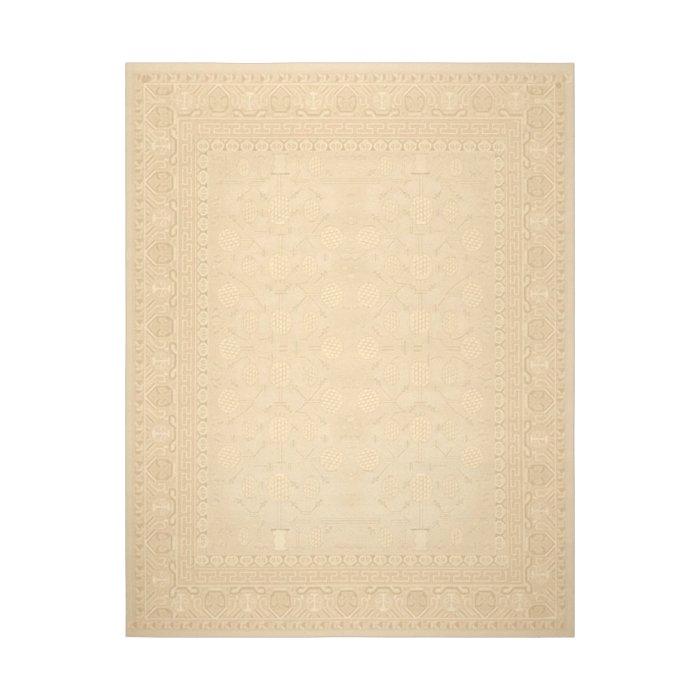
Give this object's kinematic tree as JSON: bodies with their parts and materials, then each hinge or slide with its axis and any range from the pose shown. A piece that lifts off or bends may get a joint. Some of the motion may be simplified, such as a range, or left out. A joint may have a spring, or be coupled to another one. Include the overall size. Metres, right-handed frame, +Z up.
{
  "type": "peshawar rug",
  "caption": "Rectangular hand-knotted wool rug lying flat, with a cream vase-and-fruit field, patterned borders, a plain outer band and overcast side edges.",
  "frame": {"origin": "centre of the underside, on the floor", "axes": "+X across the rug, +Y along its warps toward the end that is at the top when the upright vases stand upright, +Z up from the floor"},
  "size_m": [2.44, 3.12, 0.01],
  "materials": {
    "pile_wool": "clipped wool pile",
    "selvedge_wool": "overcast wool yarn",
    "foundation_cotton": "woven cotton web"
  },
  "bodies": {
    "root": {"knotted_panel": "pile_wool", "selvedge_left": "selvedge_wool", "selvedge_right": "selvedge_wool"}
  },
  "joints": []
}
